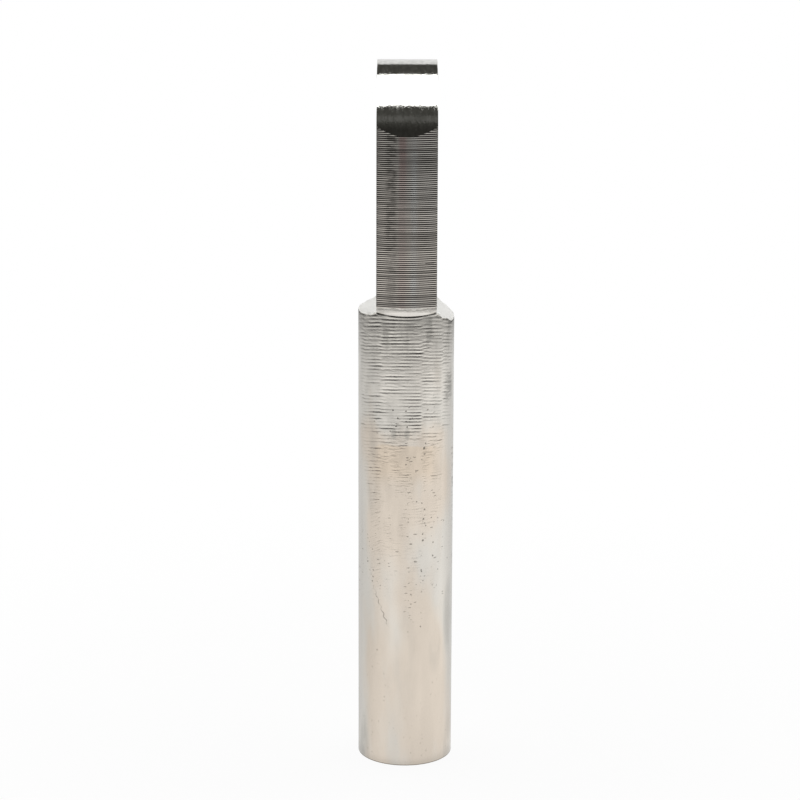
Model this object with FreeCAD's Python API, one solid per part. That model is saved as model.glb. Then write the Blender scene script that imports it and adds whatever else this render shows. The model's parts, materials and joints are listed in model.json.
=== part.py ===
import FreeCAD, Part
import math
import os

# Copper cable lug, one piece: turned from bar, milled flat, bored and tin-plated.
# Millimetres. The origin is the middle of the barrel's mouth face. +Z runs up the
# barrel to the palm, the palm's flats face along X and its width lies along Y.

# Barrel, the round body that is crimped onto the cable
barrel_diameter = 16.5
barrel_length = 81.4
mouth_edge_break = 0.3

# Cable bore, blind, drilled up from the mouth
bore_diameter = 12.0
bore_depth = 70.0
bore_mouth_chamfer = 0.6
drill_point_angle = 118.0

# Palm, the flat head that is bolted down
palm_length = 42.2
palm_width = 31.5
palm_thickness = 10.1
tip_radius = 17.2

# Back of the head, where the turning tool ran out against the barrel
back_taper_rise = 3.2

# Floors that the milling cutter left beside the flats, falling outward, and steeper on +X
left_floor_fall_angle = 7.0
right_floor_fall_angle = 26.0
floor_corner_radius = 0.4

# Stud hole through the palm, on the middle of the tip's arc
stud_hole_diameter = 17.0
stud_hole_chamfer = 0.5

# How far the cutters reach past the metal
overrun = 2.0

barrel_radius = barrel_diameter / 2
palm_half_width = palm_width / 2
palm_half_thickness = palm_thickness / 2
overall_length = barrel_length + palm_length
tip_centre_z = overall_length - tip_radius
stock_reach = palm_half_width + overrun


def polygon_face(points):
    """A flat face in the XZ plane from (x, z) points, closed back to the first."""
    corners = [FreeCAD.Vector(x, 0, z) for x, z in points]
    return Part.Face(Part.makePolygon(corners + corners[:1]))


def turned(points):
    """A solid of revolution about Z from (radius, z) points."""
    return polygon_face(points).revolve(FreeCAD.Vector(0, 0, 0), FreeCAD.Vector(0, 0, 1), 360)


def turned_blank():
    """Barrel, tapered back of the head and full round head, as they come off the lathe."""
    return turned([
        (0, 0),
        (barrel_radius - mouth_edge_break, 0),
        (barrel_radius, mouth_edge_break),
        (barrel_radius, barrel_length),
        (palm_half_width, barrel_length + back_taper_rise),
        (palm_half_width, overall_length),
        (0, overall_length),
    ])


def cable_bore():
    """The drilled hole with its countersunk mouth and the cone that the drill leaves."""
    bore_radius = bore_diameter / 2
    point_height = bore_radius / math.tan(math.radians(drill_point_angle / 2))
    mouth_radius = bore_radius + bore_mouth_chamfer
    return turned([
        (0, -overrun),
        (mouth_radius, -overrun),
        (mouth_radius, 0),
        (bore_radius, bore_mouth_chamfer),
        (bore_radius, bore_depth),
        (0, bore_depth + point_height),
    ])


def tip_cutter():
    """What lies outside the tip's arc, cut across the whole thickness of the palm."""
    block = Part.makeBox(
        2 * stock_reach,
        2 * stock_reach,
        tip_radius + overrun,
        FreeCAD.Vector(-stock_reach, -stock_reach, tip_centre_z),
    )
    arc_bar = Part.makeCylinder(
        tip_radius,
        2 * stock_reach,
        FreeCAD.Vector(-stock_reach, 0, tip_centre_z),
        FreeCAD.Vector(1, 0, 0),
    )
    return block.cut(arc_bar)


def flat_cutter(fall_angle):
    """The metal milled off one side (+X): an upright flat, a rounded corner, a falling floor."""
    fall = math.radians(fall_angle)
    half_corner = (math.pi / 2 + fall) / 2
    setback = floor_corner_radius / math.tan(half_corner)
    corner = FreeCAD.Vector(palm_half_thickness, 0, barrel_length)
    along_floor = FreeCAD.Vector(math.cos(fall), 0, -math.sin(fall))
    up = FreeCAD.Vector(0, 0, 1)
    inward = (along_floor + up).normalize()
    arc_middle = corner + inward * (floor_corner_radius / math.sin(half_corner) - floor_corner_radius)
    wall_start = corner + up * setback
    floor_start = corner + along_floor * setback
    floor_end = corner + along_floor * ((stock_reach - palm_half_thickness) / math.cos(fall))
    top_outer = FreeCAD.Vector(stock_reach, 0, overall_length + overrun)
    top_inner = FreeCAD.Vector(palm_half_thickness, 0, overall_length + overrun)
    outline = Part.Wire([
        Part.Arc(wall_start, arc_middle, floor_start).toShape(),
        Part.makeLine(floor_start, floor_end),
        Part.makeLine(floor_end, top_outer),
        Part.makeLine(top_outer, top_inner),
        Part.makeLine(top_inner, wall_start),
    ])
    cutter = Part.Face(outline).extrude(FreeCAD.Vector(0, 2 * stock_reach, 0))
    cutter.translate(FreeCAD.Vector(0, -stock_reach, 0))
    return cutter


def stud_hole():
    """The bolt hole through both flats, with a small countersink on each."""
    hole_radius = stud_hole_diameter / 2
    mouth_radius = hole_radius + stud_hole_chamfer
    straight_end = palm_half_thickness - stud_hole_chamfer
    cutter = turned([
        (0, -palm_half_thickness - overrun),
        (mouth_radius, -palm_half_thickness - overrun),
        (mouth_radius, -palm_half_thickness),
        (hole_radius, -straight_end),
        (hole_radius, straight_end),
        (mouth_radius, palm_half_thickness),
        (mouth_radius, palm_half_thickness + overrun),
        (0, palm_half_thickness + overrun),
    ])
    cutter.rotate(FreeCAD.Vector(0, 0, 0), FreeCAD.Vector(0, 1, 0), 90)
    cutter.translate(FreeCAD.Vector(0, 0, tip_centre_z))
    return cutter


def cable_lug():
    """The finished lug as one solid."""
    lug = turned_blank()
    lug = lug.cut(cable_bore())
    lug = lug.cut(tip_cutter())
    left_flat = flat_cutter(left_floor_fall_angle)
    left_flat.rotate(FreeCAD.Vector(0, 0, 0), FreeCAD.Vector(0, 0, 1), 180)
    lug = lug.cut(left_flat)
    lug = lug.cut(flat_cutter(right_floor_fall_angle))
    lug = lug.cut(stud_hole())
    return lug.Solids[0]


os.makedirs("parts", exist_ok=True)
lug_solid = cable_lug()
lug_solid.exportStep("parts/cable_lug.step")
print("cable_lug valid", lug_solid.isValid(), "volume mm3", round(lug_solid.Volume, 1))
print("box", lug_solid.BoundBox)
print("centre of mass", lug_solid.CenterOfMass)
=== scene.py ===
import json
import math

import bmesh
import bpy
from mathutils import Matrix, Vector, noise

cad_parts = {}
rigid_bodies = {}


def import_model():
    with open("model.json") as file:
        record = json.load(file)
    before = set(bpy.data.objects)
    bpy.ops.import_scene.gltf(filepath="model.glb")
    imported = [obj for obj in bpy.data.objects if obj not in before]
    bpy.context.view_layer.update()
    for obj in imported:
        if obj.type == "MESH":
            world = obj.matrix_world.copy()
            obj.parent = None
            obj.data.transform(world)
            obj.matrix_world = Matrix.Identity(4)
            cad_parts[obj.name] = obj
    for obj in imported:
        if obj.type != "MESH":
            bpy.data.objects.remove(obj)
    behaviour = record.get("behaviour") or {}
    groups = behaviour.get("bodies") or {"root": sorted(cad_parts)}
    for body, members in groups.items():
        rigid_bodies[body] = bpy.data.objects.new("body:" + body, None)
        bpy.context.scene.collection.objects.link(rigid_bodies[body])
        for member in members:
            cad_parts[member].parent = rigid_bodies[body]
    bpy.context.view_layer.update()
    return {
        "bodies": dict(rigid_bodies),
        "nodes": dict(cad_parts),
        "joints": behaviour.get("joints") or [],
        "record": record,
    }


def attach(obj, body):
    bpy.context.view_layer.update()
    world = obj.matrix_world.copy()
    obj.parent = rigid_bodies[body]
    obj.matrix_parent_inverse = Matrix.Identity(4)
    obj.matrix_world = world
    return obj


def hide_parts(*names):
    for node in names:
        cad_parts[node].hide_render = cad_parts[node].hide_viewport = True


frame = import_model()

# A cable lug turned from copper bar, milled flat at one end, bored, and tin-plated.
# Metres. The origin is the middle of the barrel's mouth, +Z runs up to the palm,
# the palm's flats face along X, and the photograph looks along +Y at the palm's edge.

MM = 0.001

# How close together two places count as one, and how close to one of the lug's radii a place counts as on it
SAME = 0.001 * MM
NEAR = 0.01 * MM

# The lug's own sizes
BARREL_RADIUS = 8.25 * MM
BARREL_LENGTH = 81.4 * MM
MOUTH_EDGE_BREAK = 0.08 * MM
BORE_RADIUS = 6.0 * MM
BORE_DEPTH = 70.0 * MM
BORE_CHAMFER = 0.6 * MM
BORE_POINT_HEIGHT = BORE_RADIUS / math.tan(math.radians(59.0))
HEAD_RADIUS = 15.75 * MM
HEAD_BACK_RISE = 3.2 * MM
PALM_HALF_THICKNESS = 5.05 * MM
OVERALL_LENGTH = 123.6 * MM
TIP_RADIUS = 17.2 * MM
TIP_CENTRE_Z = OVERALL_LENGTH - TIP_RADIUS
LEFT_FLOOR_FALL = math.radians(7.0)
RIGHT_FLOOR_FALL = math.radians(26.0)
FLOOR_CORNER_RADIUS = 0.4 * MM
STUD_HOLE_RADIUS = 8.5 * MM
STUD_HOLE_CHAMFER = 0.5 * MM

# Turning marks: the head's are fine, and their feed slows a little towards the tip.
# The barrel's are coarse, lie slanted and are broken into patches.
HEAD_RING_PITCH = 0.3414 * MM
HEAD_FEED_LOSS = 0.000185
HEAD_RING_START = 0.59
HEAD_RING_SHARES = (0.0, 0.3, 0.6, 0.75, 0.9)
HEAD_RING_DEPTH = 0.036 * MM
HEAD_RINGS_TOP = 116.2 * MM
BARREL_RING_PITCH = 0.58 * MM
BARREL_SECOND_PITCH = 0.83 * MM
BARREL_RING_DEPTH = 0.042 * MM
BARREL_RINGS_FOOT = 43.5 * MM
BARREL_RING_SLANT = 2.1 * MM

# How far the head's rings wander off their even places, as (height, shift) in millimetres
HEAD_FEED_DRIFT = (
    (84.6, -0.07), (93.2, -0.06), (95.0, 0.034), (101.0, 0.034), (102.3, -0.02),
    (103.6, -0.065), (107.0, -0.065), (108.2, 0.008), (116.2, 0.0),
)

# How strong the barrel's marks are above the height where they begin, as (height in millimetres, strength),
# and that height at the front and back, on the left and on the right
BARREL_MARK_STRENGTH = (
    (61.5, 0.4), (66, 0.36), (68, 0.27), (71, 0.3), (73, 0.36), (74.5, 0.45), (76, 0.3), (81, 0.26),
)
MARKS_FOOT = 57.5
MARKS_FOOT_LEFT = 47.5
MARKS_FOOT_RIGHT = 44.5

# Places round the barrel, in radians from the front, where the tool's chatter changes step
CHATTER_STEPS = (-2.6, -1.95, -1.08, -0.55, 0.32, 0.87, 1.5, 2.1, 2.7)

# The neck, a steep narrow band under the head that the tool's nose left above the barrel's rim
NECK_HEIGHT = 0.8 * MM
NECK_FLARE = 0.27 * MM
RIM_RISE = 0.35 * MM
NECK_TOP_DROP = 0.46 * MM
NECK_HALF_WIDTH = 5.4 * MM

# Small forms: the nicks down one side, the groove under the rim, the barrel's hollows, the tip's rounded edges,
# and the angle from which an edge stays crisp
NICK_DEPTH = 0.08 * MM
GROOVE_DEPTH = 0.07 * MM
GROOVE_HEIGHT = 0.24 * MM
HOLLOW_DEPTH = 0.012 * MM
TIP_EDGE_WIDTH = 0.1 * MM
TIP_EDGE_DROP = 0.035 * MM
CRISP_ANGLE = math.radians(44)

# How far the floors' edge drops at the front of the rim, as (distance from the middle, drop) in millimetres
FRONT_RIM_STEPS = {
    -1: ((5.4, 0.0), (5.8, 0.15), (6.1, 0.27), (7.0, 0.2), (7.4, 0.3), (7.8, 0.3), (8.2, 0.1)),
    1: (
        (5.3, 0.0), (5.7, 0.15), (6.1, 0.38), (6.4, 0.34), (6.8, 0.2),
        (7.2, 0.4), (7.7, 0.7), (7.9, 0.6), (8.2, 0.35),
    ),
}

# Where the floors are divided across, in millimetres from the flat, and how many times along
FLOOR_ROWS = (0.15, 0.4, 0.8, 1.3, 1.9, 2.4, 2.8, 3.1, 3.4, 3.7)
FLOOR_COLUMNS = 48

# Columns round the axis and round the stud hole, and how far the cutters reach past the metal
COLUMNS = 144
HOLE_COLUMNS = 120
OVERRUN = 2.0 * MM
STOCK_REACH = HEAD_RADIUS + OVERRUN

# Where each finish lies on the lug, in the order of its material slots
BARREL, RINGED, UNDERSIDE, NECK, FLOOR, FLAT, TIP, BORE = range(8)

# The barrel's skin, with places in millimetres: how warm it is, as (height / 100 mm, warmth)
BARREL_WARMTH = [
    (0.0, 0.42), (0.2, 0.42), (0.3, 0.36), (0.385, 0.26), (0.46, 0.36),
    (0.53, 0.44), (0.60, 0.40), (0.64, 0.14), (0.82, 0.08),
]

# Dull patches, as (round the barrel, height, half width, half height, strength); the two at height 0, low on each
# side, are painted shade at the foot
DULL_PATCHES_AND_FOOT_SHADE = (
    (9.5, 26.5, 2.2, 8.5, 0.4), (-6.5, 54.5, 1.7, 11, 0.24), (6.0, 56.0, 1.7, 8, 0.14), (-8.9, 0.0, 2.2, 10, 0.35),
    (9.8, 0.0, 2.4, 10, 0.28), (0.0, 18.0, 2.4, 15, 0.12), (5.6, 21.5, 1.6, 6, 0.2),
)

# Two dark smudges and six pits in rows, as (round the barrel, height)
SMUDGES = ((-2.1, 60.7), (0.2, 60.7))
PLACED_PITS = ((-2.25, 65.0), (0.0, 64.9), (-1.4, 63.6), (0.7, 63.5), (-1.7, 62.2), (0.2, 62.1))

# Upright rows in which the loose pits crowd, as (from, to, soft margin) round the barrel
PIT_ROWS = ((0.3, 1.0, 0.3), (2.7, 3.5, 0.3), (-6.4, -5.2, 0.4))

# Shades of dark lines and of the ringed edge's painted dark reflection, of what is sunk into the barrel's skin, of
# its dull patches and its painted shade, and of the studio's paper
DARK_LINE = (0.16, 0.15, 0.135, 1)
SUNK_MARK = (0.16, 0.15, 0.125, 1)
GREY_SMEAR_AND_SHADE = (0.36, 0.35, 0.32, 1)
WHITE_PAPER = (0.82, 0.82, 0.82, 1)

# Studio sizes, in metres: the round floor and its wall, how far behind the lug the light's pool lies, and how
# high the lamps hang
STAGE_RADIUS = 1.2
STAGE_COLUMNS = 96
WALL_ROWS = (0.0, 0.2, 0.45, 0.744)
FLOOR_RINGS = (0.0, 0.03, 0.2, 0.6, STAGE_RADIUS)
POOL_BEHIND = 22 * MM
LAMP_HEIGHT = OVERALL_LENGTH + 0.6

# How bright metal sees the floor: outward from the pool's middle, outward from the lug, where it is darker close by
# as a painted shadow, and round about it
POOL_OUTWARD = [
    (0.0, 1.0), (0.182, 1.0), (0.222, 0.99), (0.252, 1.07), (0.267, 1.05), (0.282, 0.95), (0.297, 0.75),
    (0.312, 0.54), (0.332, 0.38), (0.367, 0.24), (0.442, 0.12), (0.62, 0.05), (0.97, 0.04),
]
FOOT_OUTWARD = [(0.0, 0.72), (0.0083, 0.72), (0.0086, 0.9), (0.012, 0.92), (0.035, 1.0), (1.0, 1.0)]
ROUND_ABOUT = [
    (-180, 0.70), (-130, 0.72), (-118, 0.78), (-105, 0.80), (-90, 0.82), (-72, 0.87), (-60, 0.94), (-36, 0.97),
    (-22, 0.96), (-6, 0.945), (14, 0.955), (28, 0.985), (50, 0.99), (64, 1.02), (98, 1.02), (110, 0.91), (122, 0.83),
    (135, 0.76), (180, 0.70),
]

# The photograph's camera: focal length and image width in pixels, place in millimetres, and its turns in degrees
FOCAL_LENGTH = 2874.9
IMAGE_WIDTH = 800
CAMERA_PLACE = Vector((-1.037, -479.61, 196.58))
CAMERA_DIP = 15.391
CAMERA_ROLL = 0.195


def spun(points, axis, columns, gap=SAME):
    """A form of revolution from an outline, with the points closer together than the gap made one."""
    shape = bmesh.new()
    corners = [shape.verts.new(point) for point in points]
    for first, second in zip(corners, corners[1:]):
        shape.edges.new((first, second))
    whole = shape.verts[:] + shape.edges[:]
    bmesh.ops.spin(shape, geom=whole, cent=(0, 0, 0), axis=axis, angle=math.tau, steps=columns, use_merge=True)
    bmesh.ops.remove_doubles(shape, verts=shape.verts[:], dist=gap)
    bmesh.ops.recalc_face_normals(shape, faces=shape.faces[:])
    return shape


def evenly(start, stop, step):
    """Places from start to stop, both included, about a step apart."""
    count = max(1, round((stop - start) / step))
    return [start + (stop - start) * index / count for index in range(count + 1)]


def head_turn_height(turn):
    """How high a turn of the head's rings lies."""
    done = turn - HEAD_RING_START
    return BARREL_LENGTH + HEAD_BACK_RISE + HEAD_RING_PITCH * done * (1 - HEAD_FEED_LOSS * done)


def head_turn_at(height):
    """Which turn of the head's rings lies at a height."""
    climbed = (height - BARREL_LENGTH - HEAD_BACK_RISE) / HEAD_RING_PITCH
    return HEAD_RING_START + (1 - math.sqrt(1 - 4 * HEAD_FEED_LOSS * climbed)) / (2 * HEAD_FEED_LOSS)


def head_ring_rows():
    """The heights at which the head's outline needs a point for its rings."""
    rows = [head_turn_height(turn + share) for turn in range(100) for share in HEAD_RING_SHARES]
    return [z for z in rows if BARREL_LENGTH + HEAD_BACK_RISE + NEAR < z < HEAD_RINGS_TOP]


def blank_outline():
    """Half the turned blank's outline as (radius, height), from the drill's point round the mouth to the top."""
    outline = [
        (0.0, BORE_DEPTH + BORE_POINT_HEIGHT),
        (BORE_RADIUS, BORE_DEPTH),
        (BORE_RADIUS, BORE_CHAMFER),
        (BORE_RADIUS + BORE_CHAMFER, 0.0),
    ]
    for quarter in evenly(0.0, math.pi / 2, math.pi / 8):
        outline.append((
            BARREL_RADIUS - MOUTH_EDGE_BREAK * (1 - math.sin(quarter)),
            MOUTH_EDGE_BREAK * (1 - math.cos(quarter)),
        ))
    outline += [(BARREL_RADIUS, z) for z in evenly(MOUTH_EDGE_BREAK, BARREL_RINGS_FOOT, 0.8 * MM)[1:]]
    outline += [(BARREL_RADIUS, z) for z in evenly(BARREL_RINGS_FOOT, BARREL_LENGTH, BARREL_RING_PITCH / 7)[1:]]
    for share in evenly(0.0, 1.0, 0.25)[1:]:
        outline.append((BARREL_RADIUS + NECK_FLARE * share, BARREL_LENGTH + NECK_HEIGHT * share))
    neck_radius = BARREL_RADIUS + NECK_FLARE
    neck_top = BARREL_LENGTH + NECK_HEIGHT
    back_top = BARREL_LENGTH + HEAD_BACK_RISE
    for share in evenly(0.0, 1.0, 0.1)[1:]:
        radius = neck_radius + (HEAD_RADIUS - neck_radius) * share
        outline.append((radius, neck_top + (back_top - neck_top) * share))
    outline += [(HEAD_RADIUS, z) for z in head_ring_rows()]
    outline += [(HEAD_RADIUS, OVERALL_LENGTH), (0.0, OVERALL_LENGTH)]
    return outline


def blank_finish(face):
    """Which finish a face of the turned blank has, from where it lies."""
    centre = face.calc_center_median()
    radius = math.hypot(centre.x, centre.y)
    if radius < BORE_RADIUS + BORE_CHAMFER and centre.z < BORE_DEPTH + BORE_POINT_HEIGHT:
        return BORE
    if centre.z < BARREL_LENGTH:
        return BARREL
    if centre.z < BARREL_LENGTH + NECK_HEIGHT:
        return NECK
    if centre.z < BARREL_LENGTH + HEAD_BACK_RISE and radius < HEAD_RADIUS - NEAR:
        return UNDERSIDE
    return RINGED


def hump(value, low, high, soft):
    """1 between low and high, falling smoothly to 0 over a soft margin outside them."""
    below = min(1.0, max(0.0, (value - low + soft) / soft))
    above = min(1.0, max(0.0, (high + soft - value) / soft))
    both = below * above
    return both * both * (3 - 2 * both)


def wander(place, size):
    """Smooth noise from about -1 to 1, in patches of a given size."""
    return noise.noise(place / size)


def patches(place, size):
    """Noise that stays near -1 or 1 over a patch and steps quickly between patches."""
    return max(-1.0, min(1.0, 3.2 * wander(place, size)))


def chatter_zone(around):
    """Which stretch between two changes of step a place round the barrel lies in."""
    return sum(1 for step in CHATTER_STEPS if around > step) % len(CHATTER_STEPS)


def zone_middle(zone):
    """The middle of such a stretch."""
    return (CHATTER_STEPS[zone - 1] + CHATTER_STEPS[zone]) / 2 if zone else math.pi


def between(value, stops):
    """Runs straight from one (place, level) stop to the next."""
    if value <= stops[0][0]:
        return stops[0][1]
    for (low, first), (high, second) in zip(stops, stops[1:]):
        if value <= high:
            return first + (second - first) * (value - low) / (high - low)
    return stops[-1][1]


def marks_foot(around):
    """The height, in millimetres, where the barrel's turning marks begin at a place round it."""
    if abs(abs(around) - math.pi / 2) > 1.02:
        return MARKS_FOOT
    return MARKS_FOOT_LEFT if around < 0 else MARKS_FOOT_RIGHT


def barrel_ring_cut(place, around):
    """How deep the turning marks lie in the barrel: slanted in each stretch, in uneven patches, torn at the top."""
    zone = chatter_zone(around)
    slant = BARREL_RING_SLANT * (abs(math.cos(around)) - abs(math.cos(zone_middle(zone))))
    level = place.z - slant
    unrolled = Vector((BARREL_RADIUS * around, zone * 9 * MM, level))
    stretched = Vector((unrolled.x * 0.22, unrolled.y, unrolled.z))

    # Strength: by height, fading at the sides and low on the right, and uneven from patch to patch
    foot = marks_foot(around)
    strength = between(level / MM, ((foot, 0.0), (foot + 2, 0.34)) + BARREL_MARK_STRENGTH)
    if level < 59 * MM and around > 0:
        strength *= hump(patches(unrolled + Vector((0, 0, 5.2 * MM)), 3.1 * MM), 0.2, 1.0, 0.3)
    strength *= 1 - 0.7 * hump(abs(around), 1.27, 1.87, 0.12)
    strength *= 1 + 0.5 * patches(stretched, 1.9 * MM)
    strength += 0.35 * hump(place.z, 65.5 * MM, 69.5 * MM, MM) * hump(around, 0.95, 1.2, 0.08)

    # Wandering: slow over a stretch, then from patch to patch and in small ripples, more where the skin is torn
    torn = hump(place.z, 75.8 * MM, 90 * MM, 2.5 * MM)
    drift = 0.16 * MM * wander(Vector((zone * 5.1 * MM, 0, level)), 5 * MM)
    drift += (0.01 + 0.03 * torn) * MM * patches(stretched, 2.1 * MM)
    drift += (0.006 + 0.014 * torn) * MM * wander(unrolled, 0.9 * MM)

    # Profile: a round ridge with a narrow groove, each mark with its own strength, and a second cut where torn
    turn = (level + drift) / BARREL_RING_PITCH
    second = (level - 1.6 * drift) / BARREL_SECOND_PITCH
    line = 0.85 + 1.7 * wander(Vector((unrolled.x * 0.25, zone * 1.7 * MM, math.floor(turn) * 0.73 * MM)), MM)
    groove = max(0.0, 1 - 2 * abs(2 * (turn - math.floor(turn)) - 1))
    groove *= groove * (3 - 2 * groove)
    wave = max(0.08, line) * (0.3 * abs(math.sin(math.pi * turn)) + 0.55 * groove)
    wave += 0.4 * torn * abs(math.sin(math.pi * second))
    return BARREL_RING_DEPTH * max(0.0, strength) * wave + nick_depth(place, around)


def nick_depth(place, around):
    """How deep the nicks are that run down a narrow strip of one side."""
    middle = 1.42 + 0.12 * wander(Vector((0, 0, place.z)), 3 * MM)
    where = hump(abs(around - middle), 0.0, 0.05, 0.14) * hump(place.z, 45 * MM, 57 * MM, 2 * MM)
    own = wander(Vector((around * 2 * MM, 4 * MM, place.z)), 0.75 * MM)
    return NICK_DEPTH * where * max(0.0, min(1.0, own / 0.3))


def rim_height(place):
    """How high the barrel's rim is at a place, once the neck is pinched and the floors are milled."""
    rim = BARREL_LENGTH + RIM_RISE * min(1.0, (place.x / NECK_HALF_WIDTH) ** 2)
    past = abs(place.x) - PALM_HALF_THICKNESS
    if past > 0:
        side = 1 if place.x > 0 else -1
        fall = RIGHT_FLOOR_FALL if side > 0 else LEFT_FLOOR_FALL
        rim = min(rim, BARREL_LENGTH - past * math.tan(fall) - rim_drop(side, place))
    return rim


def undercut_rim(shape):
    """A thin, uneven groove right under the barrel's rim."""
    for corner in shape.verts:
        place = corner.co.copy()
        radius = math.hypot(place.x, place.y)
        below = rim_height(place) - place.z
        on_skin = BARREL_RADIUS - 0.4 * MM < radius < BARREL_RADIUS + SAME
        if not on_skin or not -0.02 * MM < below < GROOVE_HEIGHT:
            continue
        near_middle = max(0.0, 1 - (place.x / (2.6 * MM)) ** 2)
        uneven = 0.55 + 0.45 * near_middle + 0.7 * wander(Vector((place.x, place.y, 0.2)), 1.3 * MM)
        depth = GROOVE_DEPTH * max(0.03, min(1.0, uneven)) * (1 - max(0.0, below) / GROOVE_HEIGHT)
        corner.co.x *= 1 - depth / radius
        corner.co.y *= 1 - depth / radius


def barrel_unevenness(place):
    """The barrel's slight hollows, as left by drawing and plating."""
    slow = wander(Vector((place.x, place.y, place.z * 0.35)), 6 * MM)
    return HOLLOW_DEPTH * (1 + slow)


def head_ring_cut(place, around):
    """How deep the fine rings lie in the palm's round edge: each rises slowly and drops back over a short lip."""
    turn = head_turn_at(place.z)
    ring = math.floor(turn + 0.001)
    share = turn - ring
    own = wander(Vector((0.3 * MM, 0, ring * 0.73 * MM)), MM)
    along = wander(Vector((place.x * 0.3, place.y * 0.3, ring * 0.61 * MM)), MM)
    lip = 0.6 if own > 0.36 else (0.85 if own < -0.3 else 0.75)
    rise = share / lip if share <= lip + 0.001 else (1 - share) / (1 - lip)
    worn = 1 - 0.25 * max(0.0, patches(Vector((place.x, place.y, place.z * 0.6)), 2.2 * MM))
    at_corner = abs(place.x) > PALM_HALF_THICKNESS + 0.15 * MM
    near_corner = hump(abs(place.x), 4.8 * MM, 4.95 * MM, 0.1 * MM)
    depth = HEAD_RING_DEPTH * max(0.6, 1.0 + 0.4 * own + 0.6 * along) * worn * (1 - 0.35 * near_corner)
    return depth * rise + (0.3 * MM if at_corner else 0.0)


def head_ring_shift(height, around):
    """How far a ring lies off its even place: each climbs as it goes round, and the feed wanders a little."""
    from_foot = max(0.0, height - BARREL_LENGTH - HEAD_BACK_RISE)
    from_top = max(0.0, HEAD_RINGS_TOP - height)
    ends = min(1.0, from_foot / (0.8 * MM), from_top / (0.8 * MM))
    climb = HEAD_RING_PITCH / math.tau * math.sin(2 * around) / 2
    return ends * (climb + MM * between(height / MM, HEAD_FEED_DRIFT))


def cut_turning_marks(shape):
    """Moves the blank's outer vertices inwards, so that the tool's marks are real grooves."""
    for corner in shape.verts:
        place = corner.co.copy()
        radius = math.hypot(place.x, place.y)
        around = math.atan2(place.x, -place.y)
        depth = 0.0
        if abs(radius - BARREL_RADIUS) < NEAR and MOUTH_EDGE_BREAK < place.z < BARREL_LENGTH + NEAR:
            fade = min(1.0, (BARREL_LENGTH - place.z) / (0.5 * MM), place.z / (6 * MM))
            depth = fade * (barrel_ring_cut(place, around) + barrel_unevenness(place))
        if abs(radius - HEAD_RADIUS) < NEAR and place.z < HEAD_RINGS_TOP:
            depth = head_ring_cut(place, around)
            corner.co.z += head_ring_shift(place.z, around)
        if depth:
            corner.co.x *= 1 - depth / radius
            corner.co.y *= 1 - depth / radius


def pinch_neck(shape):
    """Towards the flats the barrel's rim rises and the neck's top comes down, so the neck band closes there."""
    for corner in shape.verts:
        radius = math.hypot(corner.co.x, corner.co.y)
        if radius < BORE_RADIUS + BORE_CHAMFER + 0.1 * MM or corner.co.z > BARREL_LENGTH + HEAD_BACK_RISE:
            continue
        beside = min(1.0, (corner.co.x / NECK_HALF_WIDTH) ** 2)
        rise = RIM_RISE * beside
        drop = min(NECK_TOP_DROP * beside, NECK_HEIGHT - rise - 0.04 * MM)
        above_rim = corner.co.z - BARREL_LENGTH
        if above_rim <= SAME:
            corner.co.z += rise * hump(corner.co.z, BARREL_LENGTH, BARREL_LENGTH, 2.2 * MM)
        elif above_rim <= NECK_HEIGHT + SAME:
            share = above_rim / NECK_HEIGHT
            corner.co.z += rise * (1 - share) - drop * share
        else:
            share = (above_rim - NECK_HEIGHT) / (HEAD_BACK_RISE - NECK_HEIGHT)
            corner.co.z -= drop * (1 - share)


def turned_blank():
    """Barrel, head and bore as they come off the lathe."""
    shape = spun([Vector((0, -radius, z)) for radius, z in blank_outline()], (0, 0, 1), COLUMNS)
    for face in shape.faces:
        face.material_index = blank_finish(face)
    cut_turning_marks(shape)
    pinch_neck(shape)
    undercut_rim(shape)
    return shape


def swept(outline, steps):
    """A closed bar: a flat outline, moved along by each of the steps, with an end at both sides."""
    shape = bmesh.new()
    corners = [shape.verts.new(point) for point in outline]
    first_end = shape.faces.new(corners)
    end = first_end
    for step in steps:
        inner = end
        grown = bmesh.ops.extrude_face_region(shape, geom=[inner])
        end = next(part for part in grown["geom"] if isinstance(part, bmesh.types.BMFace))
        moved = [part for part in grown["geom"] if isinstance(part, bmesh.types.BMVert)]
        bmesh.ops.translate(shape, vec=step, verts=moved)
        if inner is not first_end:
            bmesh.ops.delete(shape, geom=[inner], context="FACES_ONLY")
    bmesh.ops.recalc_face_normals(shape, faces=shape.faces[:])
    return shape


def rim_drop(side, place):
    """How far the floor's edge rolls down at the barrel's rim, in ragged steps."""
    near_rim = min(1.0, max(0.0, (math.hypot(place.x, place.y) - 7.4 * MM) / (0.85 * MM)))
    torn = 0.25 * max(0.0, 0.4 + wander(Vector((side * 7 * MM, place.y, 0)), 1.1 * MM))
    behind = min(1.0, max(0.0, place.y / (2 * MM)))
    return MM * near_rim * (behind * torn + (1 - behind) * between(abs(place.x) / MM, FRONT_RIM_STEPS[side]))


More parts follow.
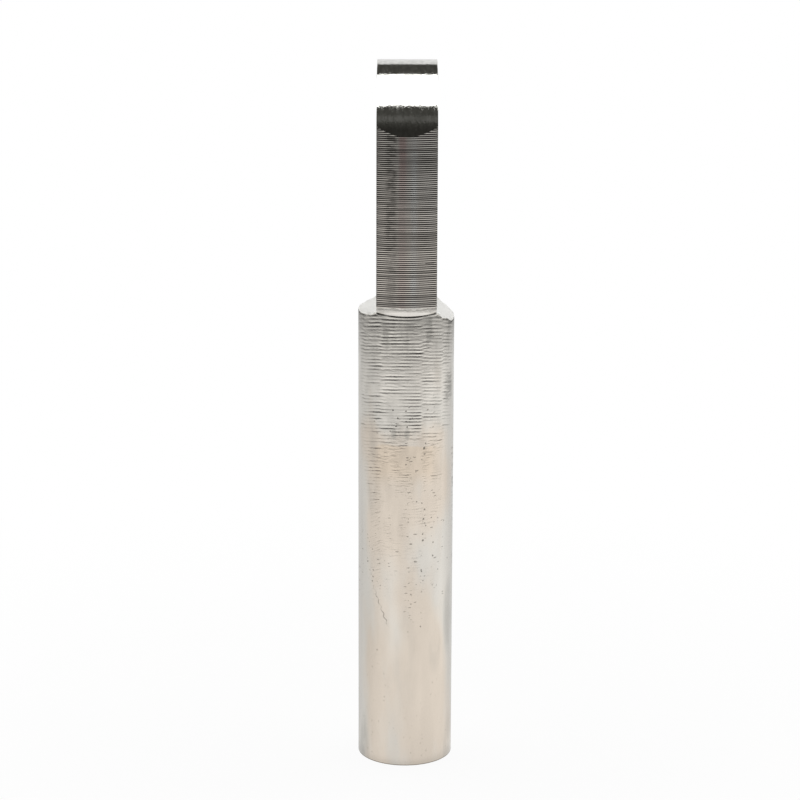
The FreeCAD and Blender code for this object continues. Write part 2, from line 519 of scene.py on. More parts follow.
def flat_cutter(side, fall):
    """The metal milled off one side: an upright flat, a rounded corner and a floor that falls outwards."""
    half_corner = (math.pi / 2 + fall) / 2
    setback = FLOOR_CORNER_RADIUS / math.tan(half_corner)
    corner = Vector((PALM_HALF_THICKNESS, 0, BARREL_LENGTH))
    along_floor = Vector((math.cos(fall), 0, -math.sin(fall)))
    round_centre = corner + Vector((FLOOR_CORNER_RADIUS, 0, setback))
    sweep = math.pi / 2 - fall
    outline = [
        Vector((STOCK_REACH, 0, OVERALL_LENGTH + OVERRUN)),
        Vector((PALM_HALF_THICKNESS, 0, OVERALL_LENGTH + OVERRUN)),
    ]
    for turn in evenly(0.0, sweep, sweep / 6):
        outline.append(round_centre + FLOOR_CORNER_RADIUS * Vector((-math.cos(turn), 0, -math.sin(turn))))
    floor_width = (STOCK_REACH - PALM_HALF_THICKNESS) / math.cos(fall)
    for row in FLOOR_ROWS:
        outline.append(corner + along_floor * (setback + row * MM))
    outline.append(corner + along_floor * floor_width)
    for point in outline:
        point.x *= side
        point.y = -STOCK_REACH
    margin = STOCK_REACH - BARREL_RADIUS
    steps = [Vector((0, margin, 0))]
    steps += [Vector((0, 2 * BARREL_RADIUS / FLOOR_COLUMNS, 0))] * FLOOR_COLUMNS
    steps += [Vector((0, margin, 0))]
    shape = swept(outline, steps)
    for spot in shape.verts:
        outward = abs(spot.co.x) - PALM_HALF_THICKNESS - 0.2 * MM
        if outward > 0 and spot.co.z < BARREL_LENGTH + 0.2 * MM:
            spot.co.z -= rim_drop(side, spot.co) + 0.02 * MM * wander(spot.co, 0.9 * MM)
            near_flat = max(0.0, 1 - outward / (0.8 * MM))
            spot.co.z += 0.3 * MM * near_flat * hump(abs(spot.co.y), 6 * MM, 9 * MM, MM)
    bmesh.ops.triangulate(shape, faces=shape.faces[:])
    for face in shape.faces:
        on_flat = abs(abs(face.normal.x) - 1) < 0.001 and abs(face.calc_center_median().x) < 6 * MM
        face.material_index = FLAT if on_flat else FLOOR
    return shape


def tip_cutter():
    """Everything outside the tip's arc, which shrinks a touch near the flats, so that the tip's edges are rounded."""
    outline = [
        Vector((0, TIP_RADIUS, TIP_CENTRE_Z)),
        Vector((0, STOCK_REACH + OVERRUN, TIP_CENTRE_Z)),
        Vector((0, STOCK_REACH + OVERRUN, OVERALL_LENGTH + OVERRUN)),
        Vector((0, -STOCK_REACH - OVERRUN, OVERALL_LENGTH + OVERRUN)),
        Vector((0, -STOCK_REACH - OVERRUN, TIP_CENTRE_Z)),
    ]
    for turn in evenly(0.0, math.pi, math.pi / 180)[:-1]:
        outline.append(Vector((0, -TIP_RADIUS * math.cos(turn), TIP_CENTRE_Z + TIP_RADIUS * math.sin(turn))))
    inside = [PALM_HALF_THICKNESS - TIP_EDGE_WIDTH * share for share in (0, 0.12, 0.3, 0.6, 1.0)]
    places = [-PALM_HALF_THICKNESS - OVERRUN] + [-x for x in inside] + inside[::-1] + [PALM_HALF_THICKNESS + OVERRUN]
    for point in outline:
        point.x = places[0]
    steps = [Vector((second - first, 0, 0)) for first, second in zip(places, places[1:])]
    shape = swept(outline, steps)
    for spot in shape.verts:
        from_centre = Vector((0, spot.co.y, spot.co.z - TIP_CENTRE_Z))
        past = abs(spot.co.x) - (PALM_HALF_THICKNESS - TIP_EDGE_WIDTH)
        if past > 0 and abs(from_centre.length - TIP_RADIUS) < SAME:
            drop = TIP_EDGE_DROP * min(1.0, past / TIP_EDGE_WIDTH) ** 2
            spot.co.y *= 1 - drop / TIP_RADIUS
            spot.co.z = TIP_CENTRE_Z + from_centre.z * (1 - drop / TIP_RADIUS)
    for face in shape.faces:
        face.material_index = TIP
    return shape


def stud_hole_cutter():
    """A bar through both flats, wider at each end for the countersinks."""
    straight = PALM_HALF_THICKNESS - STUD_HOLE_CHAMFER
    flare = STUD_HOLE_CHAMFER + 0.3 * MM
    outline = [
        (0.0, -straight - flare),
        (STUD_HOLE_RADIUS + flare, -straight - flare),
        (STUD_HOLE_RADIUS, -straight),
        (STUD_HOLE_RADIUS, straight),
        (STUD_HOLE_RADIUS + flare, straight + flare),
        (0.0, straight + flare),
    ]
    shape = spun([Vector((x, 0, radius)) for radius, x in outline], (1, 0, 0), HOLE_COLUMNS)
    bmesh.ops.translate(shape, vec=(0, 0, TIP_CENTRE_Z), verts=shape.verts[:])
    for face in shape.faces:
        face.material_index = FLAT
    return shape


def piece_from(shape, name, finishes):
    """A Blender object from a bmesh, with the lug's finishes in its slots."""
    mesh = bpy.data.meshes.new(name)
    shape.to_mesh(mesh)
    shape.free()
    piece = bpy.data.objects.new(name, mesh)
    bpy.context.scene.collection.objects.link(piece)
    for finish in finishes:
        mesh.materials.append(finish)
    return piece


def cut_away(piece, cutter):
    """Takes the cutter's volume out of the piece for good, and removes the cutter."""
    cut = piece.modifiers.new("cut", "BOOLEAN")
    cut.operation = "DIFFERENCE"
    cut.solver = "EXACT"
    cut.object = cutter
    depsgraph = bpy.context.evaluated_depsgraph_get()
    result = bpy.data.meshes.new_from_object(piece.evaluated_get(depsgraph))
    piece.modifiers.remove(cut)
    spare = piece.data
    piece.data = result
    bpy.data.meshes.remove(spare)
    bpy.data.objects.remove(cutter)


def finish_edges(piece):
    """Tidies the cut mesh and keeps crisp the edges where two finishes or two steep faces meet."""
    shape = bmesh.new()
    shape.from_mesh(piece.data)
    bmesh.ops.remove_doubles(shape, verts=shape.verts[:], dist=0.0005 * MM)
    bmesh.ops.dissolve_degenerate(shape, edges=shape.edges[:], dist=0.0003 * MM)
    for face in shape.faces:
        face.smooth = True
    for edge in shape.edges:
        finishes = {face.material_index for face in edge.link_faces}
        steep = edge.calc_face_angle(0) > CRISP_ANGLE
        edge.smooth = len(finishes) == 1 and not steep
    shape.to_mesh(piece.data)
    shape.free()


class Value:
    """A number or colour that nodes work out at each place. A plain sum with such values lays the nodes for it."""

    def __init__(self, bench, socket):
        self.bench, self.socket = bench, socket

    def __add__(self, other):
        return self.bench.math("ADD", self, other)

    def __sub__(self, other):
        return self.bench.math("SUBTRACT", self, other)

    def __mul__(self, other):
        return self.bench.math("MULTIPLY", self, other)

    def __truediv__(self, other):
        return self.bench.math("DIVIDE", self, other)

    def __pow__(self, power):
        return self.bench.math("POWER", self, power)

    def __abs__(self):
        return self.bench.math("ABSOLUTE", self)

    def larger(self, other):
        return self.bench.math("MAXIMUM", self, other)

    def smaller(self, other):
        return self.bench.math("MINIMUM", self, other)

    def spread(self, low, high, to_low=0.0, to_high=1.0):
        """Runs smoothly from to_low, where this value is low, to to_high, where it is high."""
        inputs = {"Value": self, "From Min": low, "From Max": high, "To Min": to_low, "To Max": to_high}
        return self.bench.lay("ShaderNodeMapRange", "Result", inputs, interpolation_type="SMOOTHSTEP")

    def spread_mm(self, low, high, to_low=0.0, to_high=1.0):
        """As spread, with low and high in millimetres."""
        return self.spread(low * MM, high * MM, to_low, to_high)

    def band(self, rise, top, fall, end):
        """Rises from 0 to 1 between the first two places, in millimetres, and falls back between the last two."""
        return self.spread_mm(rise, top) * self.spread_mm(fall, end, 1.0, 0.0)

    def strip(self, low, high, soft):
        """1 between low and high, with soft edges outside them, all in millimetres."""
        return self.band(low - soft, low, high, high + soft)

    def ramp(self, stops):
        """Runs straight from one (place, level) stop to the next."""
        node = self.bench.put("ShaderNodeValToRGB", {"Fac": self})
        elements = node.color_ramp.elements
        elements[0].position, elements[1].position = stops[0][0], stops[-1][0]
        for place, level in stops[1:-1]:
            elements.new(place)
        for element, (place, level) in zip(elements, stops):
            element.position = place
            element.color = (level, level, level, 1)
        return Value(self.bench, node.outputs["Color"])


class Bench:
    """Lays nodes in one tree and joins them up."""

    def __init__(self, tree):
        self.tree = tree

    def feed(self, socket, value):
        """Joins a value to a socket, or sets the socket to a plain number or colour."""
        if isinstance(value, Value):
            self.tree.links.new(value.socket, socket)
        else:
            socket.default_value = value

    def put(self, kind, inputs=None, **settings):
        """A node with its settings made and its inputs fed, each by its name or its number."""
        node = self.tree.nodes.new(kind)
        for name, setting in settings.items():
            setattr(node, name, setting)
        for name, value in (inputs or {}).items():
            self.feed(node.inputs[name], value)
        return node

    def values(self, node, *names):
        """Some of a node's outputs as values."""
        return [Value(self, node.outputs[name]) for name in names]

    def lay(self, kind, output, inputs=None, **settings):
        """Puts a node and gives one of its outputs as a value."""
        return Value(self, self.put(kind, inputs, **settings).outputs[output])

    def math(self, operation, first, second=0.0, clamp=False):
        return self.lay("ShaderNodeMath", 0, {0: first, 1: second}, operation=operation, use_clamp=clamp)

    def vector_math(self, operation, inputs):
        return self.lay("ShaderNodeVectorMath", "Vector", inputs, operation=operation)

    def blend(self, amount, first, second, kind="MIX"):
        inputs = {"Factor": amount, "A": first, "B": second}
        return self.lay("ShaderNodeMix", "Result", inputs, data_type="RGBA", blend_type=kind)

    def axes(self, frame="Object"):
        """The three coordinates of the place that is being coloured."""
        place = self.lay("ShaderNodeTexCoord", frame)
        return self.values(self.put("ShaderNodeSeparateXYZ", {0: place}), "X", "Y", "Z")

    def grain(self, scale, stretch=(1, 1, 1), detail=3.0, roughness=0.5, shift=(0, 0, 0)):
        """Noise from 0 to 1 in patches of about 1 / scale metres, smaller along an axis the larger its stretch is."""
        place = self.lay("ShaderNodeTexCoord", "Object")
        place = self.lay("ShaderNodeMapping", "Vector", {"Vector": place, "Scale": stretch, "Location": shift})
        inputs = {"Vector": place, "Scale": scale, "Detail": detail, "Roughness": roughness}
        return self.lay("ShaderNodeTexNoise", "Fac", inputs)


class Metal(Bench):
    """A bench on a new material, whose one Principled BSDF is set up as bare plated metal."""

    def __init__(self, name, roughness, metalness=1.0):
        self.material = bpy.data.materials.new(name)
        self.material.use_nodes = True
        super().__init__(self.material.node_tree)
        self.shader = self.tree.nodes["Principled BSDF"]
        self.shader.inputs["Metallic"].default_value = metalness
        self.shader.inputs["Roughness"].default_value = roughness

    def finish(self, colour, height, depth, roughness=None):
        """Joins colour, relief and, where it varies, roughness to the shader. A height of 1 is depth metres high."""
        self.feed(self.shader.inputs["Base Color"], colour)
        if roughness is not None:
            self.feed(self.shader.inputs["Roughness"], roughness)
        relief = self.lay("ShaderNodeBump", "Normal", {"Strength": 1.0, "Distance": depth, "Height": height})
        self.feed(self.shader.inputs["Normal"], relief)
        return self.material


def socketed_group(name, outputs, **inputs):
    """An empty shader group with named inputs, each with its usual value, and outputs, and its two end nodes."""
    group = bpy.data.node_groups.new(name, "ShaderNodeTree")
    for label, value in inputs.items():
        kind = "NodeSocketColor" if isinstance(value, tuple) else "NodeSocketFloat"
        group.interface.new_socket(name=label, in_out="INPUT", socket_type=kind).default_value = value
    for label in outputs:
        kind = "NodeSocketColor" if label == "Color" else "NodeSocketFloat"
        group.interface.new_socket(name=label, in_out="OUTPUT", socket_type=kind)
    return group, group.nodes.new("NodeGroupInput"), group.nodes.new("NodeGroupOutput")


def plating_group():
    """Tin plating: a warm and a cool tone in large soft upright patches, and fine grain in height."""
    group, start, end = socketed_group(
        "tin plating", ("Color", "Height"),
        Warm=(0.66, 0.58, 0.50, 1), Cool=(0.63, 0.61, 0.57, 1), Warmth=0.0, Mottle=0.5,
    )
    bench = Bench(group)
    warm, cool, warmth, mottle = bench.values(start, "Warm", "Cool", "Warmth", "Mottle")
    warm_share = (bench.grain(150, (1, 1, 0.3)) + warmth).spread(0.34, 0.66)
    shade = bench.grain(230, (1, 1, 0.16), 3.0, 0.5, (3, 1, 7)).spread(0.3, 0.7, 0.8, 1.1)
    grey = bench.lay("ShaderNodeCombineColor", "Color", {"Red": shade, "Green": shade, "Blue": shade})
    bench.feed(end.inputs["Color"], bench.blend(mottle, bench.blend(warm_share, cool, warm), grey, "MULTIPLY"))
    bench.feed(end.inputs["Height"], bench.grain(1500, (1, 1, 0.6), 3.0, 0.6))
    return group


def pits_group():
    """Small irregular pits, scattered unevenly: where they are, for colour and for depth."""
    group, start, end = socketed_group("plating pits", ("Mask",), Scale=900.0, Size=0.16, Share=0.25, Flatness=1.0)
    bench = Bench(group)
    scale, size, share, flatness = bench.values(start, "Scale", "Size", "Share", "Flatness")

    # Cells in a slightly bent and flattened space, some of them with a pit in the middle
    place = bench.lay("ShaderNodeTexCoord", "Object")
    wobble = bench.lay("ShaderNodeTexNoise", "Color", {"Vector": place, "Scale": 2600})
    bent = bench.vector_math("ADD", {0: place, 1: bench.vector_math("SCALE", {0: wobble, "Scale": 0.35 * MM})})
    flat = bench.lay("ShaderNodeCombineXYZ", "Vector", {"X": 1, "Y": 1, "Z": flatness})
    stretched = bench.vector_math("MULTIPLY", {0: bent, 1: flat})
    cells = bench.put("ShaderNodeTexVoronoi", {"Vector": stretched, "Scale": scale}, feature="F1")
    lot, distance = bench.values(cells, "Color", "Distance")
    red, green = bench.values(bench.put("ShaderNodeSeparateColor", {"Color": lot}), "Red", "Green")
    radius = size * (green + 0.35)
    hole = distance.spread(radius * 0.5, radius, 1.0, 0.0) * bench.math("LESS_THAN", red, share)
    crowd = bench.grain(200, (1, 1, 0.35), 2.0, 0.5, (9, 4, 2)).spread(0.44, 0.56)
    bench.feed(end.inputs["Mask"], hole * crowd)
    return group


def placed_group(bench, group, **values):
    """A copy of a shared group in a material, with its own values, as the list of its outputs."""
    node = bench.put("ShaderNodeGroup", values, node_tree=group)
    return [Value(bench, output) for output in node.outputs]


class BarrelPlace:
    """Where a place on the barrel lies: round it from the front, across, up, and level as the camera sees it."""

    def __init__(self, bench):
        x, y, self.up = bench.axes()
        self.around = bench.math("ARCTAN2", x, y * -1.0) * BARREL_RADIUS
        self.across = abs(x) + bench.grain(260, (1, 1, 0.3)) * (1.6 * MM)
        self.level = self.up + (y + BARREL_RADIUS) * 0.28

    def spot(self, middle, height, half_width, half_height, strength):
        """A soft-edged spot at a place round the barrel and a height, all in millimetres."""
        beside = (self.around - middle * MM) / (half_width * MM)
        above = (self.up - height * MM) / (half_height * MM)
        return (beside ** 2.0 + above ** 2.0).spread(0.1, 1.0, strength, 0.0)


def barrel_tone(bench, place, plating):
    """The barrel's colour and fine grain: cool above, warm below, cooler at the sides as a painted reflection, beige
    where the marks end, and a painted highlight in a paler band across the middle.
    """
    # The sides turn cooler: a painted reflection of the pale studio on the barrel's edges
    warmth = (place.up * 10.0).ramp(BARREL_WARMTH) - 0.3 + place.across.spread_mm(6.7, 9.0, 0.0, -0.22)
    colour, grain = placed_group(
        bench, plating,
        Warm=(0.745, 0.66, 0.565, 1), Cool=(0.735, 0.705, 0.65, 1), Warmth=warmth, Mottle=0.3,
    )
    ragged = place.level + bench.grain(300, (1, 1, 0.5)) * (3 * MM)
    beige = ragged.band(52, 56, 60.0, 60.5) * place.across.spread_mm(4.6, 7.6, 0.75, 0.0)
    colour = bench.blend(beige, colour, (0.735, 0.62, 0.495, 1))
    # A painted highlight: a paler band across the middle of the front and back, between 67 and 78 mm high
    highlight_band = place.across.spread_mm(4.6, 7.0, 0.8, 0.0) * place.up.strip(67, 78, 2.5)
    return bench.blend(highlight_band, colour, (0.84, 0.80, 0.735, 1)), grain


def barrel_smears_and_shade(bench, place):
    """Soft grey under the rim, painted shade of the palm's overhang, smudges, a rough patch on the right and a few
    dull streaky patches, two of them painted shade low at the foot.
    """
    cloudy = bench.grain(420, (1, 1, 0.3), 2.0, 0.5, (4, 6, 1)).spread(0.48, 0.68)
    # Painted shade under the palm's overhang: cloudy grey that grows towards the rim
    smears_and_shade = cloudy * place.level.spread_mm(72, 79, 0.0, 0.5)
    for middle, height in SMUDGES:
        smears_and_shade = smears_and_shade.larger(place.spot(middle, height, 0.62, 1.3, 0.5))
    rough = place.around.strip(8.7, 9.8, 1.3) * place.up.strip(67, 69, 3.0)
    ticks = bench.grain(1500, (0.4, 0.4, 1.7), 3.0, 0.6, (8, 8, 2)).spread(0.42, 0.56, 0.1, 0.8)
    smears_and_shade = smears_and_shade.larger(rough * ticks)
    streaky = bench.grain(500, (1, 1, 0.25), 3.0, 0.6, (3, 9, 9)).spread(0.38, 0.62, 0.3, 1.0)
    for patch in DULL_PATCHES_AND_FOOT_SHADE:
        smears_and_shade = smears_and_shade.larger(place.spot(*patch) * streaky)
    return smears_and_shade


def barrel_pits(bench, place, pits):
    """Round pits and flat dashes, crowded into a few upright rows, and six pits in their own places."""
    rows = 0.0
    for low, high, soft in PIT_ROWS:
        rows = place.around.strip(low, high, soft).larger(rows)
    share = rows.spread(0.0, 1.0, 0.4, 1.0)
    [round_pits] = placed_group(bench, pits, Scale=1100.0, Size=0.21, Share=share, Flatness=1.0)
    [dashes] = placed_group(bench, pits, Scale=640.0, Size=0.2, Share=share, Flatness=3.2)
    by_height = place.up.spread_mm(62, 68, 1.0, 0.2) * place.up.spread_mm(14, 30, 0.3, 1.0)
    dashes_by_height = place.up.spread_mm(20, 34, 0.25, 1.0) * by_height
    marked = (round_pits * by_height * 0.7).larger(dashes * dashes_by_height * 0.5)
    for middle, height in PLACED_PITS:
        marked = marked.larger(place.spot(middle, height, 0.17, 0.2, 0.75))
    return marked


def barrel_nicks(bench, place):
    """A row of short level nicks down one side."""
    bent = place.around + bench.grain(260, (0, 0, 1), 2.0) * (2 * MM)
    cuts = bench.grain(1100, (0.3, 0.3, 1.6), 2.0, 0.6, (1, 1, 4)).spread(0.50, 0.62)
    return bent.strip(12.4, 13.0, 0.9) * cuts * place.up.band(32, 37, 56, 59)


def wavy_scratch(bench, place):
    """One long wavy scratch low on the left, broken here and there."""
    wave = bench.math("SINE", place.up * 5200.0) * (0.16 * MM)
    leaning = place.around + (place.up - 32.7 * MM) * 0.443 + 6.07 * MM
    scratch = abs(leaning - wave).spread_mm(0.05, 0.13, 1.0, 0.0)
    broken = bench.grain(900, (1, 1, 1), 1.0).spread(0.4, 0.55, 0.25, 0.8)
    return scratch * place.up.band(25.8, 26.6, 31.5, 33.5) * broken


def fine_scratches(bench, place):
    """The height of short fine scratches in patches, level but for a strip on the left where they lean."""
    lean = (place.around + 4.5 * MM).smaller(0.0) * place.up.spread_mm(44, 54, 0.45, 0.0)
    unrolled = bench.lay("ShaderNodeCombineXYZ", "Vector", {"X": place.around * 0.2, "Z": place.up - lean})
    scratches = bench.lay("ShaderNodeTexNoise", "Fac", {"Vector": unrolled, "Scale": 2600, "Detail": 2})
    by_height = place.up.spread_mm(22, 36, 0.1, 1.0) * place.up.spread_mm(58, 64, 1.0, 0.4)
    where = bench.grain(420, (1, 1, 0.5), 2.0, 0.5, (5, 2, 8)).spread(0.46, 0.56) * by_height
    leaning = place.around.strip(-6.8, -4.8, 0.7) * place.up.spread_mm(49, 53, 1.5, 0.0)
    return (scratches - 0.5) * (where.larger(leaning) * place.up.spread_mm(24, 30, 0.1, 1.0))


def barrel_skin(plating, pits):
    """Satin barrel, with smears and painted shade, pits, nicks and scratches, and a painted shadow as a thin dark
    line at its foot.
    """
    bench = Metal("barrel skin", 0.2)
    place = BarrelPlace(bench)
    colour, grain = barrel_tone(bench, place, plating)
    # Grey smears and dull patches, with painted shade under the rim and low at the foot
    colour = bench.blend(barrel_smears_and_shade(bench, place), colour, GREY_SMEAR_AND_SHADE)
    # A painted shadow: a thin dark line along the barrel's foot
    colour = bench.blend(place.up.spread_mm(0.12, 0.20, 0.8, 0.0), colour, (0.20, 0.17, 0.13, 1))
    scored = (barrel_nicks(bench, place) * 0.45).larger(wavy_scratch(bench, place) * 0.7)
    marked = barrel_pits(bench, place, pits).larger(scored)
    height = fine_scratches(bench, place) * 3.2 + grain * 0.3 - marked * 1.6
    gloss = bench.grain(500, (1, 1, 0.4)).spread(0.3, 0.7, 0.16, 0.25)
    return bench.finish(bench.blend(marked, colour, SUNK_MARK), height, 0.012 * MM, gloss)


def ringed_edge(plating):
    """Bright round edge of the palm, with painted shade that dims it towards the tip and painted reflections in
    streaks along its front.
    """
    bench = Metal("ringed edge", 0.1)
    x, y, up = bench.axes()
    across = x + bench.grain(400, (1, 1, 0.2)) * (0.5 * MM)
    front = y.spread_mm(-1, 1, 1.0, 0.25)
    colour = placed_group(bench, plating, Warm=(0.63, 0.582, 0.525, 1), Cool=(0.61, 0.582, 0.54, 1), Mottle=0.35)[0]

    # The streaks are painted reflections, from left to right: dark and blotchy, reddish, and cool
    blotches = bench.grain(800, (0.55, 0.55, 1.6), 2.0, 0.6, (2, 2, 2)).spread(0.44, 0.58, 0.1, 0.75)
    dark_reflection = across.band(-3.6, -2.7, -1.9, -1.2) * front * (blotches * up.spread_mm(84, 112, 0.4, 1.1))
    reddish_reflection = across.band(-1.4, -0.7, -0.3, 0.5) * front * up.spread_mm(100, 111, 0.35, 0.85)
    patchy = bench.grain(260, (1, 1, 0.5), 2.0, 0.5, (6, 6, 6)).spread(0.35, 0.6, 0.45, 1.0)
    cool = across.band(0.5, 1.3, 1.4, 2.3) * front * patchy
    colour = bench.blend(reddish_reflection, colour, (0.50, 0.375, 0.35, 1))
    colour = bench.blend(cool * 0.7, colour, (0.66, 0.675, 0.665, 1))
    colour = bench.blend(dark_reflection, colour, DARK_LINE)

    # Dark lines along the rings, and painted shade that dims the edge towards the tip
    dark_ring_lines = bench.grain(330, (0.1, 0.1, 7), 2.0, 0.5, (3, 8, 1)).spread(0.46, 0.66, 0.0, 0.56)
    colour = bench.blend(dark_ring_lines, colour, DARK_LINE)
    colour = bench.blend(up.spread_mm(92, 117, 0.0, 0.34), colour, (0.12, 0.11, 0.10, 1))
    return bench.finish(colour, bench.grain(500, (1, 1, 9), 3.0, 0.6), 0.004 * MM, cool.spread(0.0, 1.0, 0.08, 0.2))


def matt_face(name, plating, warm, cool, roughness, metalness):
    """Paler, matt plating, as on the neck band and the milled floors."""
    bench = Metal(name, roughness, metalness)
    colour, grain = placed_group(bench, plating, Warm=warm, Cool=cool, Mottle=0.2)
    return bench.finish(colour, grain, 0.01 * MM)


def head_underside(plating):
    """The head's underside, torn by the tool into short light and dark ticks."""
    bench = Metal("head underside", 0.4, 0.6)
    colour = placed_group(bench, plating, Warm=(0.96, 0.94, 0.90, 1), Cool=(0.95, 0.93, 0.90, 1), Mottle=0.3)[0]
    dashes = bench.grain(900, (0.6, 0.6, 1), 3.0, 0.6, (2, 7, 0)).spread(0.46, 0.54)
    outer = abs(bench.axes()[1]).spread_mm(9.5, 13.0, 0.05, 0.8)
    fine = bench.grain(2200, (1, 0.25, 0.6), 2.0, 0.6).spread(0.5, 0.6, 0.0, 0.3)
    ticks = (dashes * outer).larger(fine)
    return bench.finish(bench.blend(ticks, colour, (0.12, 0.11, 0.095, 1)), ticks, -0.05 * MM)


def milled_flat(plating):
    """The palm's flats and the stud hole: satin plating over straight milling marks."""
    bench = Metal("milled flat", 0.36)
    colour = placed_group(bench, plating, Warm=(0.84, 0.79, 0.72, 1), Cool=(0.82, 0.80, 0.755, 1), Mottle=0.35)[0]
    lines = bench.grain(300, (1, 0.1, 10), 4.0, 0.6)
    colour = bench.blend(lines.spread(0.35, 0.65, 0.3, 0.0), colour, (0.50, 0.475, 0.44, 1))
    gloss = bench.grain(300, (1, 0.06, 6), 3.0, 0.6, (3, 3, 3)).spread(0.35, 0.65, 0.30, 0.44)
    return bench.finish(colour, lines, 0.02 * MM, gloss)


def polished_tip():
    """Mirror-bright tip, with fine polishing streaks over the arc."""
    bench = Metal("polished tip", 0.045)
    cloudy = bench.grain(1500, (1, 0.5, 0.5), 3.0, 0.6, (2, 5, 5)).spread(0.35, 0.65)
    colour = bench.blend(cloudy, (0.60, 0.595, 0.56, 1), (0.76, 0.755, 0.72, 1))
    streaks = bench.grain(3600, (1, 0.07, 0.07), 2.0, 0.6, (7, 0, 0)).spread(0.5, 0.66, 0.04, 0.13)
    return bench.finish(colour, bench.grain(3600, (1, 0.5, 0.5), 3.0, 0.6), 0.015 * MM, streaks)


def bore_wall(plating):
    """The drilled bore: dull plating with a twist of drill marks."""
    bench = Metal("bore wall", 0.4)
    colour = placed_group(bench, plating, Warm=(0.60, 0.50, 0.42, 1), Cool=(0.52, 0.49, 0.45, 1), Mottle=0.5)[0]
    return bench.finish(colour, bench.grain(300, (1, 1, 8)), 0.03 * MM)


def studio_material(name, seen_by_camera, seen_in_metal):
    """White paper. Camera rays see it lit white; metal sees it lit as far as seen_in_metal says."""
    material = bpy.data.materials.new(name)
    material.use_nodes = True
    material.cycles.emission_sampling = "NONE"
    material.node_tree.nodes.clear()
    bench = Bench(material.node_tree)
    rays = bench.put("ShaderNodeLightPath")
    camera_ray, mirrored, through = bench.values(rays, "Is Camera Ray", "Is Glossy Ray", "Is Transmission Ray")
    metal_ray = mirrored.larger(through)
    share = bench.math("ADD", camera_ray * seen_by_camera(bench), metal_ray, clamp=True)
    paper = bench.lay("ShaderNodeBsdfDiffuse", "BSDF", {"Color": WHITE_PAPER})
    glow = bench.lay("ShaderNodeEmission", "Emission", {"Strength": camera_ray + metal_ray * seen_in_metal(bench)})
    mixed = bench.lay("ShaderNodeMixShader", "Shader", {"Fac": share, 1: paper, 2: glow})
    bench.put("ShaderNodeOutputMaterial", {"Surface": mixed})
    return material


def off_axis(bench, behind=0.0):
    """How far a place on the floor lies from the lug's axis, or from a point behind it."""
    x, y, up = bench.axes()
    return bench.math("SQRT", x ** 2.0 + (y - behind) ** 2.0)


def floor_pool(bench):
    """The pool of light on the floor: its middle lies behind the lug, and a painted shadow runs as a dark line round
    the lug's foot.
    """
    x, y, up = bench.axes()
    share_of_turn = bench.math("ARCTAN2", x, y * -1.0) / math.tau + 0.5
    round_about = share_of_turn.ramp([((degrees + 180) / 360, level) for degrees, level in ROUND_ABOUT])
    return off_axis(bench, POOL_BEHIND).ramp(POOL_OUTWARD) * off_axis(bench).ramp(FOOT_OUTWARD) * round_about


def floor_whiteness(bench):
    """How far the camera sees the floor as plain white: a little less near the lug, which keeps its shadow there."""
    return off_axis(bench).spread(0.03, 0.16, 0.93, 1.0)


def wall_glow(bench):
    """The wall is lit behind the lug and dark in front of it."""
    return bench.axes()[1].spread(-0.15, 0.35, 0.04, 0.86)


def wall_whiteness(bench):
    """The camera sees the wall as plain white everywhere."""
    return 1.0


def studio():
    """A round paper floor and wall, an overhead softbox and a faint strip in front."""
    sheets = {
        "floor": ([(radius, 0, 0) for radius in FLOOR_RINGS], "white floor", floor_whiteness, floor_pool),
        "backdrop": ([(STAGE_RADIUS, 0, z) for z in WALL_ROWS], "white wall", wall_whiteness, wall_glow),
    }
    for name, (outline, *paper) in sheets.items():
        sheet = piece_from(spun(outline, (0, 0, 1), STAGE_COLUMNS, NEAR), name, [studio_material(*paper)])
        for face in sheet.data.polygons:
            face.use_smooth = True

    hang_panel("overhead softbox", width=1.0, depth_span=(-0.161, 0.418), radiance=3.4)
    hang_panel("front strip", width=0.9, depth_span=(-0.430, -0.327), radiance=0.047)

    world = bpy.data.worlds.new("dim studio")
    world.use_nodes = True
    bench = Bench(world.node_tree)
    x, y, z = bench.axes("Generated")
    level = (z.spread(0.72, 0.86, 0.030, 0.066) + y.spread(-0.1, 0.2, 0.0, 0.036)).smaller(0.066)
    background = world.node_tree.nodes["Background"]
    bench.feed(background.inputs["Strength"], level)
    background.inputs["Color"].default_value = (1, 0.98, 0.90, 1)
    bpy.context.scene.world = world


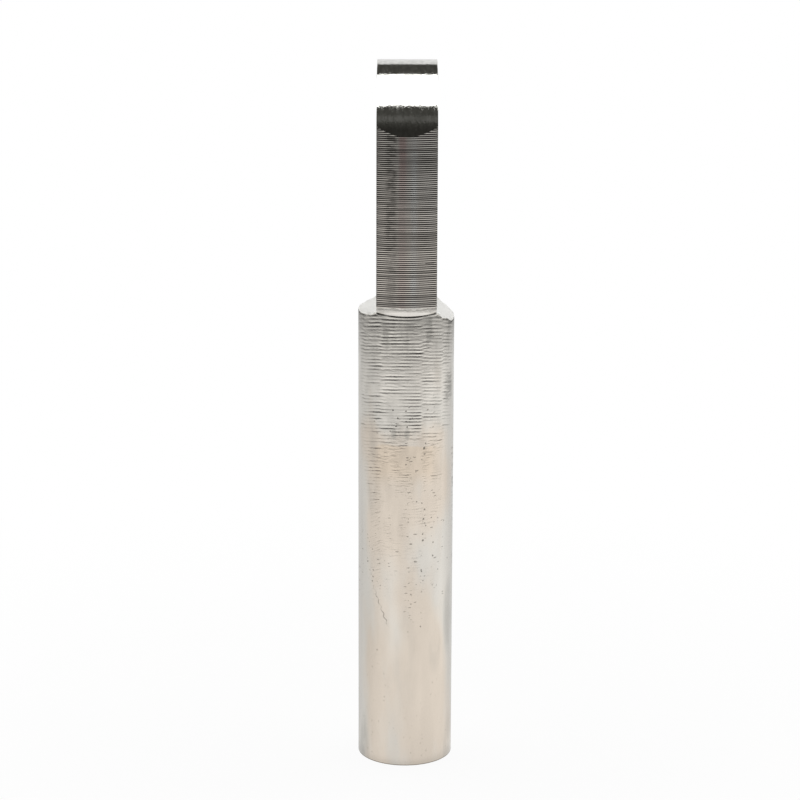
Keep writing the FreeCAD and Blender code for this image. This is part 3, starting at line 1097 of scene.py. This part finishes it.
def hang_panel(name, width, depth_span, radiance):
    """A level rectangular light over the lug, unseen by the camera itself, as bright as radiance says."""
    light = bpy.data.lights.new(name, "AREA")
    light.shape = "RECTANGLE"
    light.size = width
    light.size_y = depth_span[1] - depth_span[0]
    light.energy = radiance * light.size * light.size_y * math.pi
    lamp = bpy.data.objects.new(name, light)
    bpy.context.scene.collection.objects.link(lamp)
    lamp.location = (0, sum(depth_span) / 2, LAMP_HEIGHT)
    lamp.visible_camera = False


def photograph_camera():
    """The photograph's viewpoint: half a metre in front, looking down on the lug with a long lens."""
    lens = bpy.data.cameras.new("camera")
    lens.sensor_width = 36.0
    lens.lens = FOCAL_LENGTH / IMAGE_WIDTH * lens.sensor_width
    lens.clip_start = 0.01
    lens.clip_end = 20.0
    camera = bpy.data.objects.new("camera", lens)
    bpy.context.scene.collection.objects.link(camera)
    dip = Matrix.Rotation(math.radians(90 - CAMERA_DIP), 4, "X")
    roll = Matrix.Rotation(math.radians(CAMERA_ROLL), 4, "Z")
    camera.matrix_world = Matrix.Translation(CAMERA_PLACE * MM) @ dip @ roll
    bpy.context.scene.camera = camera


photograph_camera()
studio()
bpy.context.scene.view_settings.view_transform = "Standard"

plating = plating_group()
pits = pits_group()
finishes = [
    barrel_skin(plating, pits),
    ringed_edge(plating),
    head_underside(plating),
    matt_face("neck band", plating, (0.85, 0.815, 0.76, 1), (0.83, 0.80, 0.75, 1), roughness=0.3, metalness=0.85),
    matt_face("milled floor", plating, (0.95, 0.94, 0.90, 1), (0.94, 0.935, 0.90, 1), roughness=0.28, metalness=0.6),
    milled_flat(plating),
    polished_tip(),
    bore_wall(plating),
]

lug = piece_from(turned_blank(), "turned_lug", finishes)
cutters = {
    "left cutter": flat_cutter(-1, LEFT_FLOOR_FALL),
    "right cutter": flat_cutter(1, RIGHT_FLOOR_FALL),
    "tip cutter": tip_cutter(),
    "hole cutter": stud_hole_cutter(),
}
for name, cutter in cutters.items():
    cut_away(lug, piece_from(cutter, name, finishes))
finish_edges(lug)
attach(lug, "root")
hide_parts("cable_lug")
